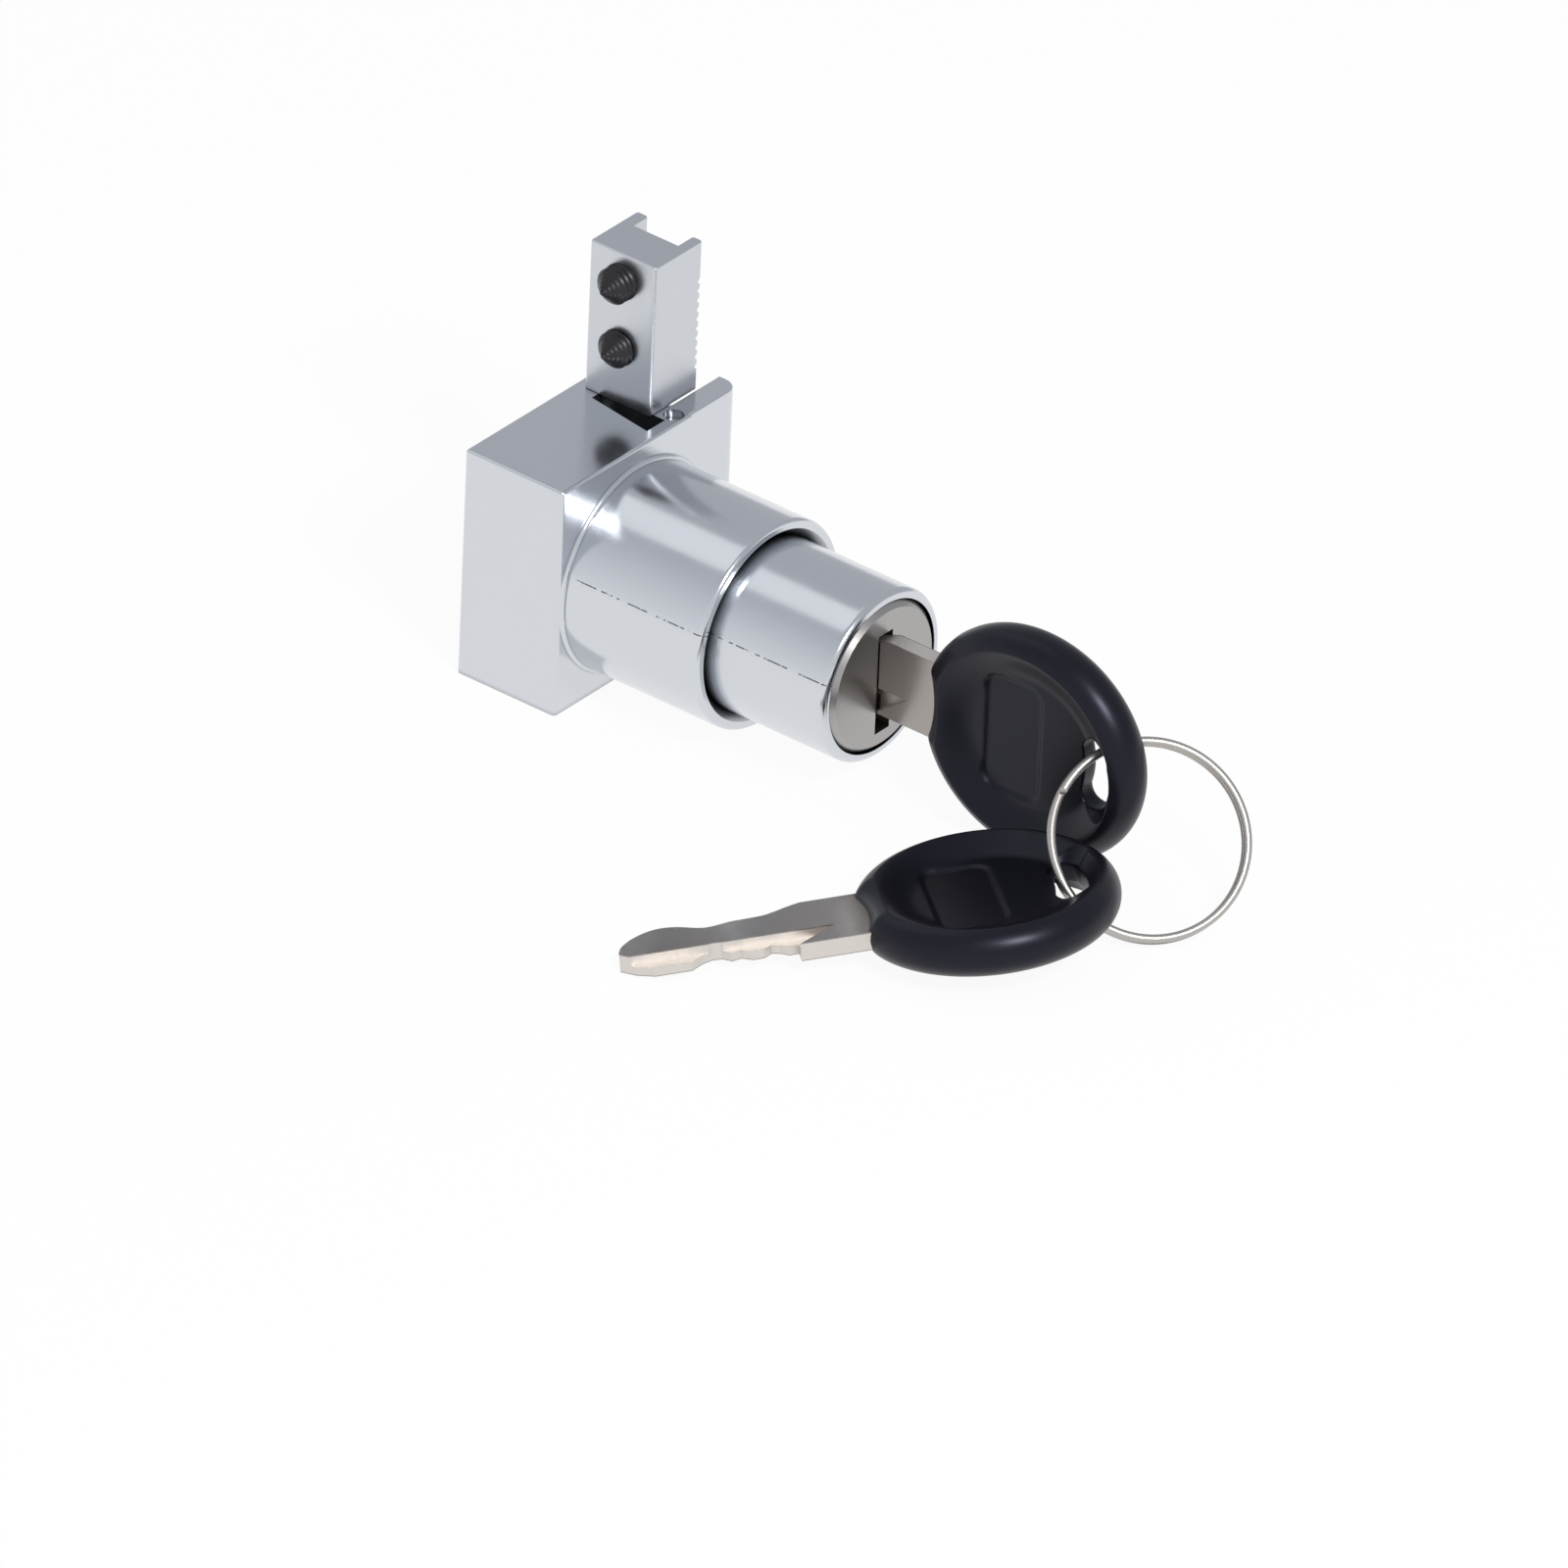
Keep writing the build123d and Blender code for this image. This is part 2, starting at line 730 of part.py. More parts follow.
def key_bow(plane, blade):
    """Oval bow with a round rim, dished on both sides, moulded over the blade."""
    half_web = bow_web / 2
    dish_run = bow_thickness / 2 - half_web + overrun
    with BuildPart() as bow:
        with BuildSketch(plane.offset(-bow_thickness / 2)):
            Ellipse(bow_length / 2, bow_height / 2)
        extrude(amount=bow_thickness)
        fillet(bow.edges(), bow_roundness)
        for side in (1, -1):
            with BuildSketch(plane.offset(side * half_web)):
                with Locations((dish_middle, 0)):
                    Ellipse(dish_length / 2, dish_height / 2)
            extrude(amount=side * dish_run, taper=dish_slope, mode=Mode.SUBTRACT)
            with BuildSketch(plane.offset(side * (half_web - panel_depth))):
                with Locations((panel_middle, 0)):
                    RectangleRounded(panel_length, panel_height, panel_corner)
            extrude(amount=side * dish_run, mode=Mode.SUBTRACT)
            with BuildSketch(plane.offset(side * half_web / 2)):
                with Locations((ring_slot_middle, 0)):
                    SlotOverall(ring_slot_length, ring_slot_width, rotation=90)
            extrude(amount=side * bow_thickness / 2, taper=ring_slot_slope, mode=Mode.SUBTRACT)
        with BuildSketch(plane.offset(-bow_thickness)):
            with Locations((ring_slot_middle, 0)):
                SlotOverall(ring_slot_length, ring_slot_width, rotation=90)
            with Locations((scallop_depth - bow_length / 2 - scallop_radius, 0)):
                Circle(scallop_radius)
        extrude(amount=2 * bow_thickness, mode=Mode.SUBTRACT)
        add(blade.part, mode=Mode.SUBTRACT)
    return bow


inserted_plane = key_plane((0, inserted_bow_y, inserted_bow_z), (0, -1, 0), (0, 0, 1))
loose_plane = key_plane(loose_bow_middle, *loose_directions())
inserted_key_blade = key_blade(inserted_plane)
inserted_key_bow = key_bow(inserted_plane, inserted_key_blade)
loose_key_blade = key_blade(loose_plane)
loose_key_bow = key_bow(loose_plane, loose_key_blade)

# Split ring: two turns of wire that lie against each other
with BuildPart() as key_ring:
    ring_across = Vector(0, 0, 1).cross(Vector(ring_normal)).normalized()
    ring_section = Plane(
        origin=ring_middle, x_dir=ring_across, z_dir=ring_across.cross(Vector(ring_normal))
    )
    with BuildSketch(ring_section):
        with Locations((ring_radius, ring_wire_pitch / 2), (ring_radius, -ring_wire_pitch / 2)):
            Circle(ring_wire_radius)
    revolve(axis=Axis(ring_middle, ring_normal))

pieces = {
    "housing": housing,
    "anchor_post": anchor_post,
    "upper_grub_screw": upper_grub_screw,
    "lower_grub_screw": lower_grub_screw,
    "post_fixing_screw": post_fixing_screw,
    "guide_screw": guide_screw,
    "plunger_barrel": plunger_barrel,
    "locking_bolt": locking_bolt,
    "bolt_cross_pin": bolt_cross_pin,
    "return_spring": return_spring,
    "key_plug": key_plug,
    "plug_retainer": plug_retainer,
    "latch": latch,
    "inserted_key_blade": inserted_key_blade,
    "inserted_key_bow": inserted_key_bow,
    "loose_key_blade": loose_key_blade,
    "loose_key_bow": loose_key_bow,
    "key_ring": key_ring,
}
for number, plate in enumerate(wafers):
    pieces[f"wafer_{number + 1}"] = plate

for name, piece in pieces.items():
    piece.part.label = name
    export_step(piece.part, f"parts/{name}.step")
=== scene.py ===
# %% [markdown]
# # Push lock for a glass cabinet door
#
# The metal pieces come from the imported CAD model and get procedural finishes. Three kinds of piece
# are computed here as surfaces, because their look or their motion needs more than flat cuts:
#
# - **Key bows.** Each half is a height field over a grid that runs from the ring slot's outline to
#   the bow's outline. With d the distance in from the bow's outline and T half the thickness, the
#   rim's height is T * sqrt(1 - (1 - min(d, T) / T)^2), a quarter round. The dish lowers it to the
#   web with a smooth step over the distance inside an ellipse, the panel lowers it once more, and
#   the slot's edge is flared, so the height there is the web's plus a rise per distance.
# - **Split ring.** A wire round a circle for nearly two turns. At angle t its centre is
#   C + R * (cos t * A + sin t * B) + s(t) * N, with A, B and N square to each other. The shift s is
#   -p / 2 on the first turn and p / 2 on the second, with a short straight ramp between them.
# - **Return spring.** A coil round the barrel's axis.

# %% Imports and the frame
import math

import bpy
import json
import numpy as np
from mathutils import Matrix, Vector


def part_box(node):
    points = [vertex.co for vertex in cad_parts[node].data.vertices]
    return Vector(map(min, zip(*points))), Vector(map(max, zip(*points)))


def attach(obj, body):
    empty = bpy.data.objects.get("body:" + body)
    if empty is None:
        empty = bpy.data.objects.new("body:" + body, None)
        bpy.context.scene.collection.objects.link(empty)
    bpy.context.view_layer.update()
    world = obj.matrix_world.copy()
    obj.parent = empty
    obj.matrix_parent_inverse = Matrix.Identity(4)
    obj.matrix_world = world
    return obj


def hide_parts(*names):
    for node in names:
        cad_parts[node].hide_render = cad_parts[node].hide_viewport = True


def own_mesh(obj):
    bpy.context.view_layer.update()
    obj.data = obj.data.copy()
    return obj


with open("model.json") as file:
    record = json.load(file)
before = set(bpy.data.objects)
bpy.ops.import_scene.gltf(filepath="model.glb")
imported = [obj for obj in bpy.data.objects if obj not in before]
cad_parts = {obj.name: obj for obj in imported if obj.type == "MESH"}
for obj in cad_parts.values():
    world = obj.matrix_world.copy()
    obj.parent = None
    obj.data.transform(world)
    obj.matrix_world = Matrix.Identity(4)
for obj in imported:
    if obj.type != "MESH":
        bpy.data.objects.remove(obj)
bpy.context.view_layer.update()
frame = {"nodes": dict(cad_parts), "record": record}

# %% [markdown]
# ## Sizes
#
# Lengths are in metres, from millimetres. They follow the CAD model's own sizes, and places come
# from the CAD pieces' boxes where they can.

# %% Sizes
MM = 0.001
AXIS_HEIGHT = 12.8 * MM
BOW_LENGTH = 27.3 * MM
BOW_HEIGHT = 25.4 * MM
BOW_HALF_THICKNESS = 2.8 * MM
WEB_HALF_THICKNESS = 1.0 * MM
DISH_MIDDLE = 0.3 * MM
DISH_HALF_LENGTH = 9.8 * MM
DISH_HALF_HEIGHT = 9.4 * MM
DISH_NARROW_RUN = 2.6 * MM
DISH_WIDE_RUN = 2.2 * MM
PANEL_MIDDLE = -2.2 * MM
PANEL_HALF_LENGTH = 3.5 * MM
PANEL_HALF_HEIGHT = 6.6 * MM
PANEL_CORNER = 1.6 * MM
PANEL_DEPTH = 0.25 * MM
PANEL_EDGE = 0.6 * MM
SLOT_MIDDLE = 8.7 * MM
SLOT_HALF_LENGTH = 4.1 * MM
SLOT_HALF_WIDTH = 1.7 * MM
SLOT_RISE = 1.5
SCALLOP_RADIUS = 13.0 * MM
SCALLOP_DEPTH = 1.3 * MM
BOW_RINGS = 110
BOW_SPOKES = 380
BOW_CROWDING = 0.12
SLOT_WALL_RINGS = 4
HALVINGS = 48
TINY = 1e-9

SHOULDER_TO_BOW = 19.9 * MM
BLADE_HALF_THICKNESS = 1.0 * MM
MILLED_MARGIN = 0.1 * MM
KEY_LIFT = 0.6 * MM
LOOSE_MIDDLE = Vector((-16.3, -65.9, 4.81)) * MM
LOOSE_HEADING = math.radians(-40.0)
LOOSE_PITCH = math.radians(5.7)
LOOSE_ROLL = math.radians(-5.75)

RING_MIDDLE = Vector((-0.76, -74.22, 8.48)) * MM
RING_NORMAL = Vector((-0.455, -0.607, 0.651)).normalized()
RING_RADIUS = 10.1 * MM
RING_WIRE_RADIUS = 0.45 * MM
RING_PITCH = 0.88 * MM
RING_TURNS = 1.867
RING_START = math.radians(194)
RING_JOG = 7.5
RING_STEPS = 420
WIRE_STEPS = 32
WIRE_END_SHARE = 0.02

SPRING_WIRE_RADIUS = 0.45 * MM
SPRING_TURNS = 7.5
SPRING_STEPS = 400

SEAM_ANGLE = math.radians(18)
SEAM_WIDTH = 0.14 * MM
SEAM_LEAST_LEFT = 5.0 * MM
SEAM_BACK = -7.4 * MM
SEAM_DASH = 0.667 * MM
PAINTED_SHADE_REACH = 1.3 * MM
GLOSS_PATCH = 3.85 * MM
RIPPLE_LENGTH = 2.38 * MM
RIPPLE_DEPTH = 0.2 * MM
SCRATCH_DEPTH = 0.02 * MM
TURNING_PITCH = 0.35 * MM
TURNING_DEPTH = 0.03 * MM
BLACKENING_PATCH = 0.667 * MM
MILLING_GRAIN = 0.556 * MM
MILLING_DEPTH = 0.08 * MM
MOULD_GRAIN = 0.192 * MM
MOULD_DEPTH = 0.05 * MM
MOULD_GLOSS_PATCH = 3.33 * MM


# %% [markdown]
# ## Small helpers
#
# Colours are written as sRGB hex. `add_node` makes a shader node and sets its inputs by name.

# %% Helpers
def colour(code):
    """Linear RGBA of an sRGB hex colour."""
    shares = [int(code[i : i + 2], 16) / 255 for i in (0, 2, 4)]
    linear = [c / 12.92 if c <= 0.04045 else ((c + 0.055) / 1.055) ** 2.4 for c in shares]
    return (*linear, 1.0)


def add_node(tree, kind, inputs=None, **settings):
    """A node of that kind. An input is a value, or another node's output to link."""
    node = tree.nodes.new(kind)
    for name, value in settings.items():
        setattr(node, name, value)
    for key, value in (inputs or {}).items():
        if isinstance(value, bpy.types.NodeSocket):
            tree.links.new(value, node.inputs[key])
        else:
            node.inputs[key].default_value = value
    return node


def maths(tree, operation, first, second=0.0):
    """Output of a Math node."""
    return add_node(tree, "ShaderNodeMath", {0: first, 1: second}, operation=operation).outputs[0]


def blank_material(name):
    """A material with its nodes cleared, and its tree."""
    material = bpy.data.materials.new(name)
    material.use_nodes = True
    material.node_tree.nodes.clear()
    return material, material.node_tree


def surface(tree, shader):
    """Links a shader output to the material's surface."""
    add_node(tree, "ShaderNodeOutputMaterial", {"Surface": shader})


def object_place(tree):
    """Object coordinates, which are metres in the lock's own frame."""
    return add_node(tree, "ShaderNodeTexCoord").outputs["Object"]


def noise(tree, place, size, detail=2.0, roughness=0.5):
    """Output of a Noise Texture, about 0 to 1, whose patches are about that size."""
    inputs = {"Vector": place, "Scale": 1 / size, "Detail": detail, "Roughness": roughness}
    return add_node(tree, "ShaderNodeTexNoise", inputs).outputs["Fac"]


def spread(tree, value, low, high):
    """value from 0..1 spread over low..high."""
    inputs = {"Value": value, "From Min": 0.0, "From Max": 1.0, "To Min": low, "To Max": high}
    return add_node(tree, "ShaderNodeMapRange", inputs).outputs["Result"]


def mixed_colour(tree, share, first, second):
    """first at share 0 and second at share 1. Each is a colour or a node's output."""
    blend = add_node(tree, "ShaderNodeMix", {"Factor": share}, data_type="RGBA")
    for name, value in (("A", first), ("B", second)):
        if isinstance(value, bpy.types.NodeSocket):
            tree.links.new(value, blend.inputs[name])
        else:
            blend.inputs[name].default_value = value
    return blend.outputs["Result"]


def mesh_piece(name, points, faces, material):
    """A smooth-shaded mesh object from arrays of points and faces."""
    mesh = bpy.data.meshes.new(name)
    mesh.from_pydata(points.tolist(), [], faces.tolist())
    mesh.polygons.foreach_set("use_smooth", np.ones(len(mesh.polygons), bool))
    mesh.materials.append(material)
    mesh.update()
    piece = bpy.data.objects.new(name, mesh)
    bpy.context.scene.collection.objects.link(piece)
    return piece


def grid_faces(rows, columns, wrap_rows=False):
    """Quads of a grid whose columns wrap round."""
    steps = rows if wrap_rows else rows - 1
    row, column = np.meshgrid(np.arange(steps), np.arange(columns), indexing="ij")
    below = (row + 1) % rows
    beside = (column + 1) % columns
    corners = (
        row * columns + column,
        row * columns + beside,
        below * columns + beside,
        below * columns + column,
    )
    return np.stack(corners, axis=-1).reshape(-1, 4)


# %% [markdown]
# ## Finishes
#
# The block with its sleeve and the barrel are taken to be zinc, die cast and plated with bright
# chrome. The post has the same plating, but satin. The cast metal below leaves a slow ripple about
# 2.4 mm long, and the gloss wanders over patches of about 4 mm. The tint is darkened to near black
# where a point is walled in within about a millimetre: painted shade in corners and creases. The
# sleeve and the barrel carry the faint broken line that a mould's halves leave.

# %% Chrome
def seam_mask(tree, place):
    """1 on the broken parting line on the left of the sleeve and barrel, else 0."""
    axes = add_node(tree, "ShaderNodeSeparateXYZ", {"Vector": place})
    height = maths(tree, "SUBTRACT", axes.outputs["Z"], AXIS_HEIGHT)
    left = maths(tree, "MULTIPLY", axes.outputs["X"], -1.0)
    across = maths(
        tree,
        "SUBTRACT",
        maths(tree, "MULTIPLY", height, math.cos(SEAM_ANGLE)),
        maths(tree, "MULTIPLY", left, math.sin(SEAM_ANGLE)),
    )
    on_line = maths(tree, "LESS_THAN", maths(tree, "ABSOLUTE", across), SEAM_WIDTH / 2)
    on_left = maths(tree, "GREATER_THAN", left, SEAM_LEAST_LEFT)
    before_block = maths(tree, "LESS_THAN", axes.outputs["Y"], SEAM_BACK)
    dashes = maths(tree, "GREATER_THAN", noise(tree, place, SEAM_DASH), 0.5)
    mask = maths(tree, "MULTIPLY", on_line, on_left)
    mask = maths(tree, "MULTIPLY", mask, before_block)
    return maths(tree, "MULTIPLY", mask, dashes)


def painted_corner_shade(tree, tint):
    """Painted shade: the tint in the open, darkening to nearly black where a point is walled in."""
    inputs = {"Color": colour("FFFFFF"), "Distance": PAINTED_SHADE_REACH}
    open_share = add_node(tree, "ShaderNodeAmbientOcclusion", inputs, samples=8).outputs["AO"]
    limits = {"Value": open_share, "From Min": 0.1, "From Max": 0.7, "To Min": 0.0, "To Max": 1.0}
    share = add_node(tree, "ShaderNodeMapRange", limits).outputs["Result"]
    # Painted shade colour, near black, for walled-in points in corners and creases.
    return mixed_colour(tree, share, colour("1C1D20"), colour(tint))


def chrome(name, tint, smoothest, roughest, seam):
    """Plated metal with a slow change in its gloss and painted shade in its corners. seam adds the
    mould's line.
    """
    material, tree = blank_material(name)
    place = object_place(tree)
    gloss = spread(tree, noise(tree, place, GLOSS_PATCH, 3.0), smoothest, roughest)
    waves = noise(tree, place, RIPPLE_LENGTH)
    inputs = {"Height": waves, "Strength": 0.05, "Distance": RIPPLE_DEPTH}
    ripple = add_node(tree, "ShaderNodeBump", inputs)
    # Painted shade: the tint darkens towards black in corners and creases.
    plating_and_shade = painted_corner_shade(tree, tint)
    if seam:
        plating_and_shade = mixed_colour(tree, seam_mask(tree, place), plating_and_shade, colour("5C5F64"))
    inputs = {
        "Base Color": plating_and_shade,
        "Metallic": 1.0,
        "Roughness": gloss,
        "Normal": ripple.outputs["Normal"],
    }
    shader = add_node(tree, "ShaderNodeBsdfPrincipled", inputs)
    surface(tree, shader.outputs["BSDF"])
    return material


chrome_casting = chrome("chrome_casting", "D3D6DB", 0.13, 0.22, seam=True)
satin_casting = chrome("satin_casting", "CDD0D5", 0.24, 0.36, seam=False)
chrome_barrel = chrome("chrome_barrel", "D3D6DB", 0.15, 0.24, seam=True)
# The ring is nickel-plated wire, warmer and duller than chrome.
ring_nickel = chrome("ring_nickel", "B9B5B0", 0.36, 0.46, seam=False)


# %% [markdown]
# Nickel on the plug's face is duller, with fine scratches. The bolt, its pin, the latch and the
# two fitting screws are bright steel, the spring and the clip are spring steel, and the wafers are
# brass. Real scratches are finer than these, which are as coarse as they need to be to show.

# %% Duller metals
def brushed(name, tint, gloss, scratch):
    """Metal with fine scratches. scratch is the mark's size along X, Y and Z, in millimetres."""
    material, tree = blank_material(name)
    per_metre = [1 / (size * MM) for size in scratch]
    inputs = {"Vector": object_place(tree), "Scale": per_metre}
    scaled = add_node(tree, "ShaderNodeMapping", inputs).outputs["Vector"]
    scratches = noise(tree, scaled, 1.0, 4.0, 0.6)
    inputs = {"Height": scratches, "Strength": 0.05, "Distance": SCRATCH_DEPTH}
    bump = add_node(tree, "ShaderNodeBump", inputs)
    shader = add_node(
        tree,
        "ShaderNodeBsdfPrincipled",
        {
            # Painted shade: the tint darkens towards black in corners and creases.
            "Base Color": painted_corner_shade(tree, tint),
            "Metallic": 1.0,
            "Roughness": spread(tree, scratches, gloss * 0.85, gloss * 1.2),
            "Normal": bump.outputs["Normal"],
        },
    )
    surface(tree, shader.outputs["BSDF"])
    return material


satin_nickel = brushed("satin_nickel", "ABA9A8", 0.3, (1.11, 1.11, 1.11))
bright_steel = brushed("bright_steel", "BFC2C4", 0.28, (1.43, 0.4, 0.4))
spring_steel = brushed("spring_steel", "9C9EA1", 0.3, (0.5, 0.5, 0.5))
brass = brushed("brass", "C9A45A", 0.3, (0.667, 2.5, 0.4))


# %% [markdown]
# The grub screws are blackened steel with turning marks: rings round X whose height is a sine of
# x. Their gloss varies in patches under a millimetre wide.

# %% Blackened steel
def turned_black():
    """Blackened steel with fine rings round the screw's axis."""
    material, tree = blank_material("black_steel")
    place = object_place(tree)
    along = add_node(tree, "ShaderNodeSeparateXYZ", {"Vector": place}).outputs["X"]
    rings = maths(tree, "SINE", maths(tree, "MULTIPLY", along, 2 * math.pi / TURNING_PITCH))
    inputs = {"Height": rings, "Strength": 0.5, "Distance": TURNING_DEPTH}
    bump = add_node(tree, "ShaderNodeBump", inputs)
    inputs = {
        "Base Color": colour("38373A"),
        "Metallic": 0.85,
        "Roughness": spread(tree, noise(tree, place, BLACKENING_PATCH), 0.3, 0.45),
        "Normal": bump.outputs["Normal"],
    }
    shader = add_node(tree, "ShaderNodeBsdfPrincipled", inputs)
    surface(tree, shader.outputs["BSDF"])
    return material


black_steel = turned_black()

# %% [markdown]
# The keys' blades are polished nickel on their faces. The milled strip and the cuts are rough and
# pale. The strip is where a point's distance from the blade's middle plane, (P - C) . N, is less
# than the face's by a margin, which is the same test on either key.

# %% Key blades
def key_metal(name, key):
    """Nickel that is polished on the blade's two faces and rough everywhere below them."""
    material, tree = blank_material(name)
    place = object_place(tree)
    middle, across = key.translation, key.col[2].xyz
    offset = add_node(tree, "ShaderNodeVectorMath", {0: place, 1: middle}, operation="SUBTRACT")
    inputs = {0: offset.outputs["Vector"], 1: across}
    depth = add_node(tree, "ShaderNodeVectorMath", inputs, operation="DOT_PRODUCT").outputs["Value"]
    depth = maths(tree, "ABSOLUTE", depth)
    milled = maths(tree, "LESS_THAN", depth, BLADE_HALF_THICKNESS - MILLED_MARGIN)
    grain = noise(tree, place, MILLING_GRAIN, 3.0, 0.6)
    strength = spread(tree, milled, 0.0, 0.6)
    inputs = {"Height": grain, "Strength": strength, "Distance": MILLING_DEPTH}
    bump = add_node(tree, "ShaderNodeBump", inputs)
    tint = mixed_colour(tree, milled, colour("A39D98"), colour("D9D3CD"))
    shader = add_node(
        tree,
        "ShaderNodeBsdfPrincipled",
        {
            "Base Color": tint,
            "Metallic": 1.0,
            "Roughness": spread(tree, milled, 0.22, 0.47),
            "Normal": bump.outputs["Normal"],
        },
    )
    surface(tree, shader.outputs["BSDF"])
    return material


# %% [markdown]
# The bows are black plastic from a lightly grained mould: a dark base, a soft gloss and a fine
# uneven bump.

# %% Plastic
def moulded_plastic():
    """Satin black plastic."""
    material, tree = blank_material("black_plastic")
    place = object_place(tree)
    grain = noise(tree, place, MOULD_GRAIN)
    inputs = {"Height": grain, "Strength": 0.06, "Distance": MOULD_DEPTH}
    bump = add_node(tree, "ShaderNodeBump", inputs)
    shader = add_node(
        tree,
        "ShaderNodeBsdfPrincipled",
        {
            "Base Color": colour("0E0E15"),
            "Roughness": spread(tree, noise(tree, place, MOULD_GLOSS_PATCH), 0.3, 0.38),
            "Specular IOR Level": 0.33,
            "Specular Tint": colour("D9DCF2"),
            "Normal": bump.outputs["Normal"],
        },
    )
    surface(tree, shader.outputs["BSDF"])
    return material


black_plastic = moulded_plastic()

# %% [markdown]
# ## Where the keys lie
#
# A key's own frame has x along the blade towards the ring and y up the blade. The inserted key is
# placed from the barrel's front, and the loose key lies tilted on the bench.

# %% Key places
def key_place(middle, along, up):
    """4x4 place of a key whose x runs along and whose y runs up."""
    across = along.cross(up)
    turned = Matrix((along, up, across)).transposed().to_4x4()
    return Matrix.Translation(middle) @ turned


def loose_directions():
    """Directions along and up the loose key's blade."""
    along = Vector(
        (
            math.cos(LOOSE_HEADING) * math.cos(LOOSE_PITCH),
            math.sin(LOOSE_HEADING) * math.cos(LOOSE_PITCH),
            math.sin(LOOSE_PITCH),
        )
    )
    level = Vector((-math.sin(LOOSE_HEADING), math.cos(LOOSE_HEADING), 0))
    up = level * math.cos(LOOSE_ROLL) + along.cross(level) * math.sin(LOOSE_ROLL)
    return along, up


barrel_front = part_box("plunger_barrel")[0].y
inserted_middle = Vector((0, barrel_front - SHOULDER_TO_BOW, AXIS_HEIGHT + KEY_LIFT))
inserted_place = key_place(inserted_middle, Vector((0, -1, 0)), Vector((0, 0, 1)))
loose_place = key_place(LOOSE_MIDDLE, *loose_directions())

# %% [markdown]
# ## CAD pieces and their finishes
#
# Every CAD node gets the material of its slot in the record. The two blades share a slot, and each
# has its own material because the test for the milled strip needs the key's place.

# %% Finishes on the CAD pieces
FINISHES = {
    "chrome_casting": chrome_casting,
    "satin_casting": satin_casting,
    "chrome_barrel": chrome_barrel,
    "satin_nickel": satin_nickel,
    "black_steel": black_steel,
    "bright_steel": bright_steel,
    "spring_steel": spring_steel,
    "brass": brass,
    "black_plastic": black_plastic,
    "ring_nickel": ring_nickel,
}

KEY_FINISHES = {
    "inserted_key_blade": key_metal("inserted_key_nickel", inserted_place),
    "loose_key_blade": key_metal("loose_key_nickel", loose_place),
}

for entry in frame["record"]["subparts"]:
    node = frame["nodes"][entry["node"]]
    finish = KEY_FINISHES.get(entry["node"]) or FINISHES[entry["material_slot"]]
    node.data.materials.clear()
    node.data.materials.append(finish)


# %% [markdown]
# ## Key bows
#
# Distances come first: the distance in from the bow's outline, the distance inside the dish's
# ellipse, and the distance outside the ring slot and the panel. For an ellipse with half axes a
# and b, the distance is taken as (1 - f) / |grad f| with f = sqrt((x / a)^2 + (y / b)^2).

# %% Distances on the bow
def inside_ellipse(x, y, half_x, half_y):
    """Distance in from an ellipse's outline, below zero outside."""
    f = np.sqrt((x / half_x) ** 2 + (y / half_y) ** 2) + TINY
    slope = np.sqrt((x / half_x**2) ** 2 + (y / half_y**2) ** 2) / f + TINY
    return (1 - f) / slope


def inside_bow(x, y):
    """Distance in from the bow's outline, with the scallop at the blade."""
    from_oval = inside_ellipse(x, y, BOW_LENGTH / 2, BOW_HEIGHT / 2)
    scallop_x = SCALLOP_DEPTH - BOW_LENGTH / 2 - SCALLOP_RADIUS
    from_scallop = np.hypot(x - scallop_x, y) - SCALLOP_RADIUS
    return np.minimum(from_oval, from_scallop)


def outside_slot(x, y):
    """Distance out from the ring slot, an arc about the bow's middle widened by a radius."""
    straight = SLOT_HALF_LENGTH - SLOT_HALF_WIDTH
    along = np.clip(y, -straight, straight)
    middle = np.sqrt(SLOT_MIDDLE**2 - along**2)
    return np.hypot(x - middle, y - along) - SLOT_HALF_WIDTH


def inside_panel(x, y):
    """Distance in from the panel's rounded rectangle."""
    over_x = np.abs(x - PANEL_MIDDLE) - (PANEL_HALF_LENGTH - PANEL_CORNER)
    over_y = np.abs(y) - (PANEL_HALF_HEIGHT - PANEL_CORNER)
    beyond = np.hypot(np.maximum(over_x, 0), np.maximum(over_y, 0))
    return PANEL_CORNER - beyond - np.minimum(np.maximum(over_x, over_y), 0)


def step(value):
    """Smooth step from 0 to 1."""
    share = np.clip(value, 0, 1)
    return share * share * (3 - 2 * share)


def bow_height(x, y):
    """Half thickness of the bow at x, y."""
    full = BOW_HALF_THICKNESS
    near_edge = np.clip(inside_bow(x, y) / full, 0, 1)
    rim = full * np.sqrt(1 - (1 - near_edge) ** 2)
    in_dish = inside_ellipse(x - DISH_MIDDLE, y, DISH_HALF_LENGTH, DISH_HALF_HEIGHT)
    towards_ring = step((x + DISH_HALF_LENGTH) / BOW_LENGTH * 2)
    run = DISH_NARROW_RUN + (DISH_WIDE_RUN - DISH_NARROW_RUN) * towards_ring
    dished = full - (full - WEB_HALF_THICKNESS) * step(0.5 + in_dish / (2 * run))
    panel_floor = WEB_HALF_THICKNESS - PANEL_DEPTH
    in_panel = step(0.5 + inside_panel(x, y) / PANEL_EDGE)
    height = np.minimum(rim, dished)
    height = height - (height - np.minimum(panel_floor, height)) * in_panel
    flare = WEB_HALF_THICKNESS + SLOT_RISE * np.maximum(outside_slot(x, y), 0)
    return np.minimum(height, flare)


# %% [markdown]
# The grid's first ring lies on the slot's outline and its last on the bow's outline. Along each
# spoke the rings crowd a little towards the outline, where the rim turns over.

# %% Bow surface
def reach(distance, start_x, direction_x, direction_y, furthest):
    """How far along each direction the distance function falls to zero, by halving."""
    low = np.zeros_like(direction_x)
    high = np.full_like(direction_x, furthest)
    for _ in range(HALVINGS):
        middle = (low + high) / 2
        still_in = distance(start_x + middle * direction_x, middle * direction_y) > 0
        low = np.where(still_in, middle, low)
        high = np.where(still_in, high, middle)
    return (low + high) / 2


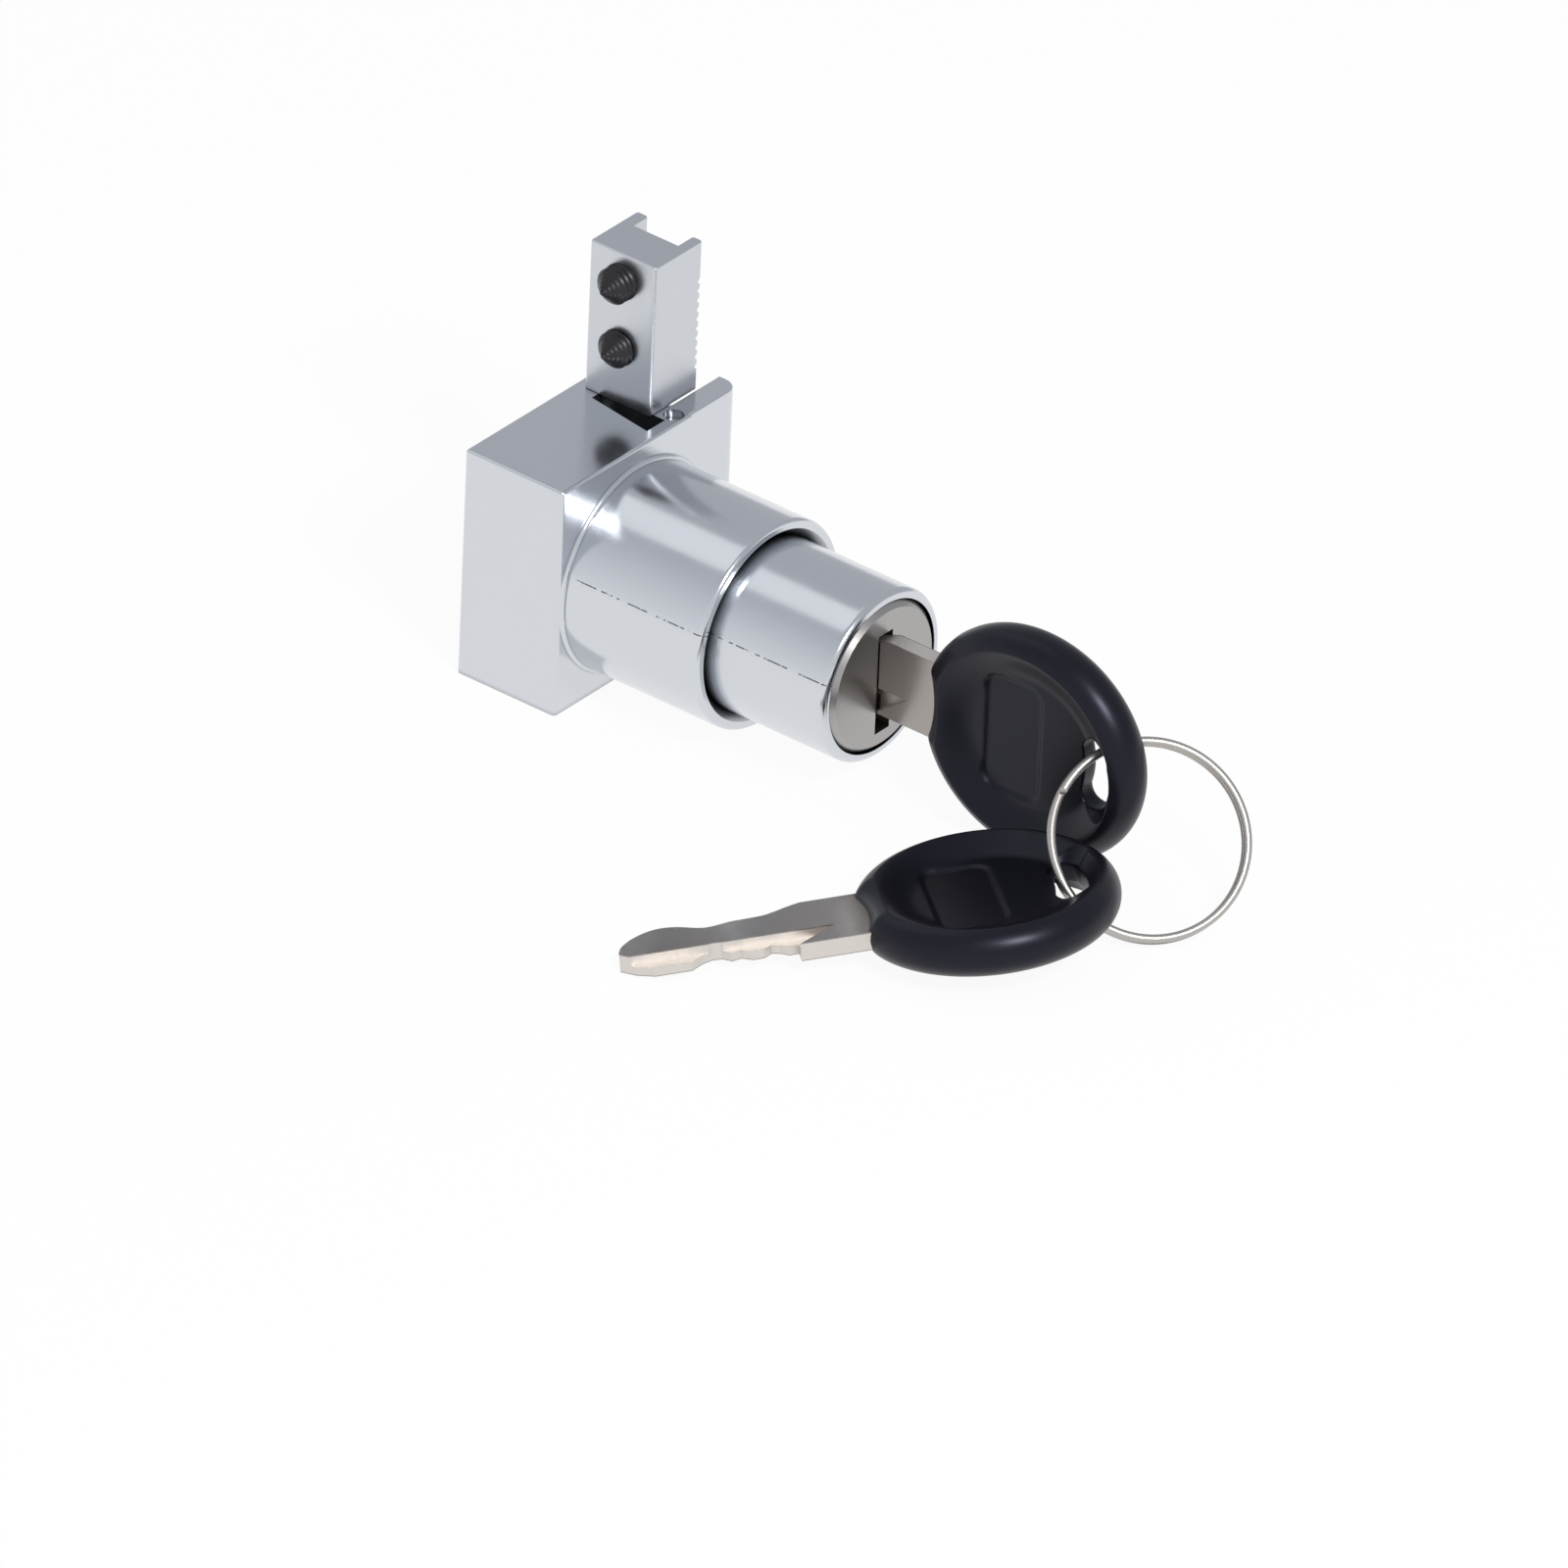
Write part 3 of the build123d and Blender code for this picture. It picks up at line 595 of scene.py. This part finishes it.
def bow_mesh(name, place, material):
    """A bow whose x runs to the ring, y up the blade, put at a 4x4 place."""
    turn = np.linspace(0, 2 * np.pi, BOW_SPOKES, endpoint=False)
    cosines, sines = np.cos(turn), np.sin(turn)
    inner = reach(lambda x, y: -outside_slot(x, y), SLOT_MIDDLE, cosines, sines, BOW_LENGTH)
    outer = reach(inside_bow, SLOT_MIDDLE, cosines, sines, BOW_LENGTH)
    share = np.linspace(0, 1, BOW_RINGS)[:, None]
    share = share + BOW_CROWDING * np.sin(np.pi * share) * share
    share = share / share.max()
    along = inner + (outer - inner) * share
    x = SLOT_MIDDLE + along * cosines
    y = along * sines
    z = bow_height(x, y)
    front = np.stack((x, y, z), axis=-1)
    back = np.stack((x, y, -z), axis=-1)[::-1]
    wall_share = np.linspace(0, 1, SLOT_WALL_RINGS + 2)[1:-1, None, None]
    wall = back[-1] + (front[0] - back[-1]) * wall_share
    points = np.concatenate((front, back[1:], wall))
    rows = len(points)
    points = points.reshape(-1, 3)
    matrix = np.array(place)
    points = points @ matrix[:3, :3].T + matrix[:3, 3]
    return mesh_piece(name, points, grid_faces(rows, BOW_SPOKES, True), material)


for piece_name, node_name, body_name, place in (
    ("inserted_bow", "inserted_key_bow", "inserted_key", inserted_place),
    ("loose_bow", "loose_key_bow", "loose_key", loose_place),
):
    bow = bow_mesh(piece_name, place, black_plastic)
    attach(bow, body_name)
    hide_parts(node_name)


# %% [markdown]
# ## Split ring
#
# Two turns lie side by side round most of the circle. Between the wire's two ends there is only
# one, which crosses over from one side to the other. The ends are rounded by rings that shrink.

# %% Split ring
def wire_mesh(name, centre, outward, sideways, radius, material):
    """A round wire along centre points. outward and sideways are square to it at each point."""
    steps = np.linalg.norm(np.diff(centre, axis=0), axis=1)
    run = np.concatenate(([0.0], np.cumsum(steps)))
    from_end = np.minimum(run, run[-1] - run) / radius
    rounded = radius * np.sqrt(1 - (1 - np.clip(from_end, WIRE_END_SHARE, 1)) ** 2)
    turn = np.linspace(0, 2 * np.pi, WIRE_STEPS, endpoint=False)
    section = np.cos(turn)[None, :, None] * outward[:, None, :]
    section = section + np.sin(turn)[None, :, None] * sideways
    points = centre[:, None, :] + rounded[:, None, None] * section
    faces = grid_faces(len(centre), WIRE_STEPS)
    return mesh_piece(name, points.reshape(-1, 3), faces, material)


def ring_mesh():
    """The two-turn wire with rounded ends."""
    across = Vector((0, 0, 1)).cross(RING_NORMAL).normalized()
    upward = RING_NORMAL.cross(across)
    side, rise, normal = (np.array(v) for v in (across, upward, RING_NORMAL))
    angle = RING_START + np.linspace(0, 2 * np.pi * RING_TURNS, RING_STEPS)
    turns = (angle - angle.mean()) / (2 * np.pi)
    shift = RING_PITCH * np.clip(RING_JOG * turns, -0.5, 0.5)
    outward = np.outer(np.cos(angle), side) + np.outer(np.sin(angle), rise)
    centre = np.array(RING_MIDDLE) + RING_RADIUS * outward + np.outer(shift, normal)
    return wire_mesh("split_ring", centre, outward, normal, RING_WIRE_RADIUS, ring_nickel)


ring = ring_mesh()
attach(ring, "key_ring")
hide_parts("key_ring")

# %% [markdown]
# ## Return spring
#
# At angle t the wire's centre is (r * sin t, y + p * t / 2 pi, r * cos t) about the barrel's axis.

# %% Return spring
def spring_mesh(front, back):
    """A coil between two corners of the CAD spring's box."""
    angle = np.linspace(0, 2 * np.pi * SPRING_TURNS, SPRING_STEPS)
    outward = np.stack((np.sin(angle), np.zeros_like(angle), np.cos(angle)), axis=-1)
    radius = (back.x - front.x) / 2 - SPRING_WIRE_RADIUS
    along = np.linspace(front.y + SPRING_WIRE_RADIUS, back.y - SPRING_WIRE_RADIUS, SPRING_STEPS)
    centre = radius * outward + np.array((0.0, 0.0, AXIS_HEIGHT))
    centre[:, 1] = along
    sideways = np.array((0.0, 1.0, 0.0))
    return wire_mesh("coil", centre, outward, sideways, SPRING_WIRE_RADIUS, spring_steel)


spring_front, spring_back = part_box("return_spring")
coil = spring_mesh(spring_front, spring_back)
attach(coil, "housing")
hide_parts("return_spring")
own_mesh(coil)

# %% [markdown]
# ## Smooth CAD faces
#
# Round CAD faces are shaded smooth. Sharp edges stay sharp, because the frame's meshes carry their
# own normals along them.

# %% Smooth shading
for node in frame["nodes"].values():
    node.data.polygons.foreach_set("use_smooth", np.ones(len(node.data.polygons), bool))

# %% [markdown]
# ## Floor
#
# The floor is white to the camera and to mirrors, and keeps a faint shadow.

# %% Stage
FLOOR_HALF = 3.0
FLOOR_SHADOW = 0.07


def floor_material():
    """White to the camera and to reflections, with a little of a real floor's shadow."""
    material, tree = blank_material("white_floor")
    path = add_node(tree, "ShaderNodeLightPath")
    seen = maths(tree, "MAXIMUM", path.outputs["Is Camera Ray"], path.outputs["Is Glossy Ray"])
    seen = maths(tree, "MAXIMUM", seen, path.outputs["Is Transmission Ray"])
    white = add_node(tree, "ShaderNodeEmission", {"Color": colour("FFFFFF"), "Strength": 1.0})
    paint = add_node(tree, "ShaderNodeBsdfDiffuse", {"Color": colour("F4F5F6")})
    amount = maths(tree, "MULTIPLY", seen, 1.0 - FLOOR_SHADOW)
    mixed = add_node(
        tree,
        "ShaderNodeMixShader",
        {0: amount, 1: paint.outputs["BSDF"], 2: white.outputs["Emission"]},
    )
    surface(tree, mixed.outputs["Shader"])
    return material


floor_corners = (
    (-FLOOR_HALF, -FLOOR_HALF, 0),
    (FLOOR_HALF, -FLOOR_HALF, 0),
    (FLOOR_HALF, FLOOR_HALF, 0),
    (-FLOOR_HALF, FLOOR_HALF, 0),
)
floor = mesh_piece("floor", np.array(floor_corners), np.array([[0, 1, 2, 3]]), floor_material())

# %% [markdown]
# ## World
#
# The world is white to the camera. To everything else it is grey, paler low on the left: with x
# and z the direction's parts, the share of the paler grey is a + b * x + c * z, held to 0..1.

# %% World
SKY_DARK = "BFC1C6"
SKY_PALE = "EDEFF3"
PALE_SHARE = 0.45
PALE_PER_X = -0.75
PALE_PER_Z = -0.9


def make_world():
    """Greys for light and mirrors, white for the camera."""
    world = bpy.data.worlds.new("studio")
    bpy.context.scene.world = world
    world.use_nodes = True
    tree = world.node_tree
    tree.nodes.clear()
    direction = add_node(tree, "ShaderNodeTexCoord").outputs["Generated"]
    parts = add_node(tree, "ShaderNodeSeparateXYZ", {"Vector": direction}).outputs
    share = maths(tree, "MULTIPLY", parts["X"], PALE_PER_X)
    share = maths(tree, "ADD", share, maths(tree, "MULTIPLY", parts["Z"], PALE_PER_Z))
    share = add_node(
        tree, "ShaderNodeMath", {0: share, 1: PALE_SHARE}, operation="ADD", use_clamp=True
    )
    greys = mixed_colour(tree, share.outputs[0], colour(SKY_DARK), colour(SKY_PALE))
    sky = add_node(tree, "ShaderNodeBackground", {"Color": greys})
    white = add_node(tree, "ShaderNodeBackground", {"Color": colour("FFFFFF"), "Strength": 1.0})
    path = add_node(tree, "ShaderNodeLightPath")
    mixed = add_node(
        tree,
        "ShaderNodeMixShader",
        {
            0: path.outputs["Is Camera Ray"],
            1: sky.outputs["Background"],
            2: white.outputs["Background"],
        },
    )
    add_node(tree, "ShaderNodeOutputWorld", {"Surface": mixed.outputs["Shader"]})


make_world()

# %% [markdown]
# ## Lamps
#
# A wide, weak soft box stands high behind the lock and lays a pale band along the sleeve and the
# barrel. A smaller, stronger one in front picks out the bows' rims and the chrome's edges.

# %% Lamps
SUBJECT = Vector((0.0, -30.0, 12.0)) * MM
BACK_PLACE = Vector((-0.07, 0.45, 0.78))
BACK_SIZE = (0.45, 0.7)
BACK_WATTS = 0.45
FRONT_PLACE = Vector((-0.24, -0.55, 0.56))
FRONT_SIZE = (0.19, 0.19)
FRONT_WATTS = 3.6


def soft_box(name, place, size, watts):
    """A rectangular area lamp that faces the lock."""
    data = bpy.data.lights.new(name, "AREA")
    data.shape = "RECTANGLE"
    data.size, data.size_y = size
    data.energy = watts
    lamp = bpy.data.objects.new(name, data)
    lamp.location = place
    lamp.rotation_mode = "QUATERNION"
    lamp.rotation_quaternion = (SUBJECT - lamp.location).to_track_quat("-Z", "Y")
    bpy.context.scene.collection.objects.link(lamp)


soft_box("back_box", BACK_PLACE, BACK_SIZE, BACK_WATTS)
soft_box("front_box", FRONT_PLACE, FRONT_SIZE, FRONT_WATTS)

# %% [markdown]
# ## Camera
#
# The photo was taken from far off. The camera's three directions and its scale come from fitting
# the block, the sleeve, the barrel and the post to their edges in the photo.

# %% Camera
CAMERA_RIGHT = Vector((0.62808, -0.77729, 0.03643))
CAMERA_UP = Vector((0.39082, 0.35559, 0.84901))
CAMERA_BACK = Vector((-0.67288, -0.51901, 0.52713))
CAMERA_DISTANCE = 4.383
PICTURE_CENTRE = Vector((0.0, -26.94, -4.99)) * MM
SENSOR_WIDTH = 36.0
PICTURE_PIXELS = 1600
FOCAL_PIXELS = 44078
NEAREST_SEEN = 0.1
FURTHEST_SEEN = 20.0


def make_camera():
    """The camera from which the photo was taken."""
    data = bpy.data.cameras.new("camera")
    data.sensor_width = SENSOR_WIDTH
    data.lens = SENSOR_WIDTH * FOCAL_PIXELS / PICTURE_PIXELS
    data.clip_start = NEAREST_SEEN
    data.clip_end = FURTHEST_SEEN
    camera = bpy.data.objects.new("camera", data)
    turned = Matrix((CAMERA_RIGHT, CAMERA_UP, CAMERA_BACK)).transposed()
    camera.rotation_mode = "QUATERNION"
    camera.rotation_quaternion = turned.to_quaternion()
    camera.location = PICTURE_CENTRE + CAMERA_BACK * CAMERA_DISTANCE
    bpy.context.scene.collection.objects.link(camera)
    bpy.context.scene.camera = camera


make_camera()
bpy.context.scene.view_settings.view_transform = "Standard"
